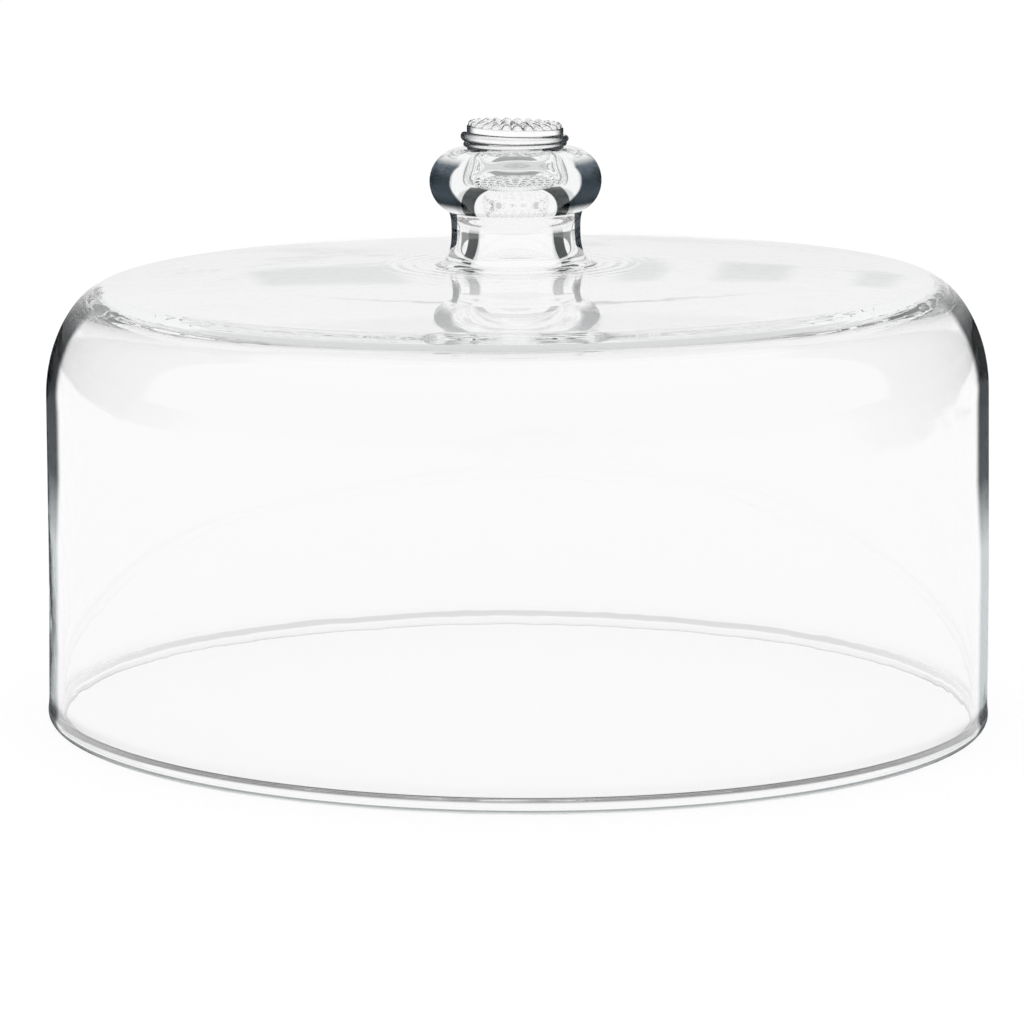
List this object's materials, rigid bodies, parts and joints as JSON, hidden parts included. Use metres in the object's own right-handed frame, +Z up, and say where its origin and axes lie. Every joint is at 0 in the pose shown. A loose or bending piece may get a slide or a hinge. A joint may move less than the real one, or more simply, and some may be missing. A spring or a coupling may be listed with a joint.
{
  "type": "glass cake dome",
  "caption": "Clear mouth-blown glass cake dome: straight-walled open bell with a nearly flat crown, hollow sealed knob, wound glass thread and stamped berry prunt.",
  "frame": {"origin": "centre of the rim, on the plane that the rim rests on", "axes": "+Z up along the bell's axis to the knob, -Y towards the viewer of the picture, +X to the viewer's right"},
  "size_m": [0.292, 0.292, 0.1847],
  "materials": {
    "bell_glass": "clear blown soda-lime glass, fire-polished, faintly wavy inside",
    "knob_glass": "clear glass, fire-polished, thick and hollow",
    "thread_glass": "clear glass thread, trailed on hot",
    "prunt_glass": "clear glass pad, stamped with beads"
  },
  "bodies": {
    "root": {"dome_bell": "bell_glass", "knob_body": "knob_glass", "knob_thread": "thread_glass", "berry_prunt": "prunt_glass"}
  },
  "joints": []
}
